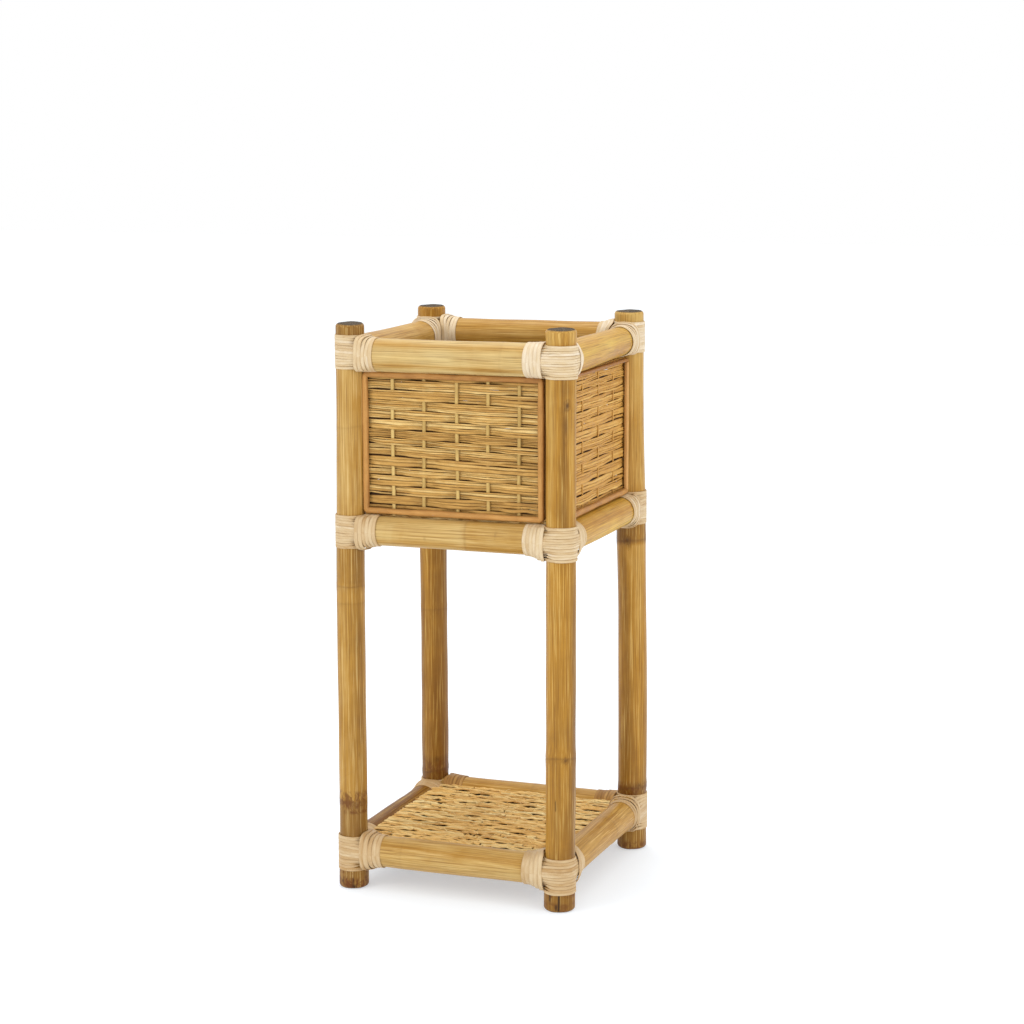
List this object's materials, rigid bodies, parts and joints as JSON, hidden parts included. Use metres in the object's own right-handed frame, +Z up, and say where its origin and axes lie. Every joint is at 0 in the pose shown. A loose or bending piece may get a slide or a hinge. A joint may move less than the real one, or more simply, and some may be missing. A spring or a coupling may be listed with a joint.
{
  "type": "rattan plant stand",
  "caption": "Square rattan plant stand: four thick cane uprights, cane rails bound with pale peel at the corners, a woven box on top for a pot and a woven shelf near the floor.",
  "frame": {"origin": "centre of the footprint, on the floor under the four feet", "axes": "+Z is up along the uprights; -Y is the front, the side shown in the picture on the left of the nearest upright; +X is to the right"},
  "size_m": [0.3194, 0.3199, 0.7],
  "materials": {
    "rattan_pole": "satin",
    "rattan_peel": "satin",
    "cane_trim": "satin",
    "woven_cane": "matte",
    "slat_wood": "matte",
    "steel": "satin"
  },
  "bodies": {
    "root": {"corner_band_bottom_front_left": "rattan_peel", "corner_band_bottom_front_right": "rattan_peel", "corner_band_bottom_rear_left": "rattan_peel", "corner_band_bottom_rear_right": "rattan_peel", "corner_band_middle_front_left": "rattan_peel", "corner_band_middle_front_right": "rattan_peel", "corner_band_middle_rear_left": "rattan_peel", "corner_band_middle_rear_right": "rattan_peel", "corner_band_top_front_left": "rattan_peel", "corner_band_top_front_right": "rattan_peel", "corner_band_top_rear_left": "rattan_peel", "corner_band_top_rear_right": "rattan_peel", "deck_stakes": "woven_cane", "joint_screws": "steel", "panel_stakes": "woven_cane", "panel_trim_inner_front": "cane_trim", "panel_trim_inner_left": "cane_trim", "panel_trim_inner_rear": "cane_trim", "panel_trim_inner_right": "cane_trim", "panel_trim_outer_front": "cane_trim", "panel_trim_outer_left": "cane_trim", "panel_trim_outer_rear": "cane_trim", "panel_trim_outer_right": "cane_trim", "panel_weavers_front": "woven_cane", "panel_weavers_left": "woven_cane", "panel_weavers_rear": "woven_cane", "panel_weavers_right": "woven_cane", "planter_floor_slats": "slat_wood", "planter_floor_weavers": "woven_cane", "post_front_left": "rattan_pole", "post_front_right": "rattan_pole", "post_rear_left": "rattan_pole", "post_rear_right": "rattan_pole", "rail_bottom_front": "rattan_pole", "rail_bottom_left": "rattan_pole", "rail_bottom_rear": "rattan_pole", "rail_bottom_right": "rattan_pole", "rail_middle_front": "rattan_pole", "rail_middle_left": "rattan_pole", "rail_middle_rear": "rattan_pole", "rail_middle_right": "rattan_pole", "rail_top_front": "rattan_pole", "rail_top_left": "rattan_pole", "rail_top_rear": "rattan_pole", "rail_top_right": "rattan_pole", "rail_wraps_bottom_front_left": "rattan_peel", "rail_wraps_bottom_front_right": "rattan_peel", "rail_wraps_bottom_rear_left": "rattan_peel", "rail_wraps_bottom_rear_right": "rattan_peel", "rail_wraps_middle_front_left": "rattan_peel", "rail_wraps_middle_front_right": "rattan_peel", "rail_wraps_middle_rear_left": "rattan_peel", "rail_wraps_middle_rear_right": "rattan_peel", "rail_wraps_top_front_left": "rattan_peel", "rail_wraps_top_front_right": "rattan_peel", "rail_wraps_top_rear_left": "rattan_peel", "rail_wraps_top_rear_right": "rattan_peel", "shelf_slats": "slat_wood", "shelf_weavers": "woven_cane", "trim_brads": "steel"}
  },
  "joints": []
}
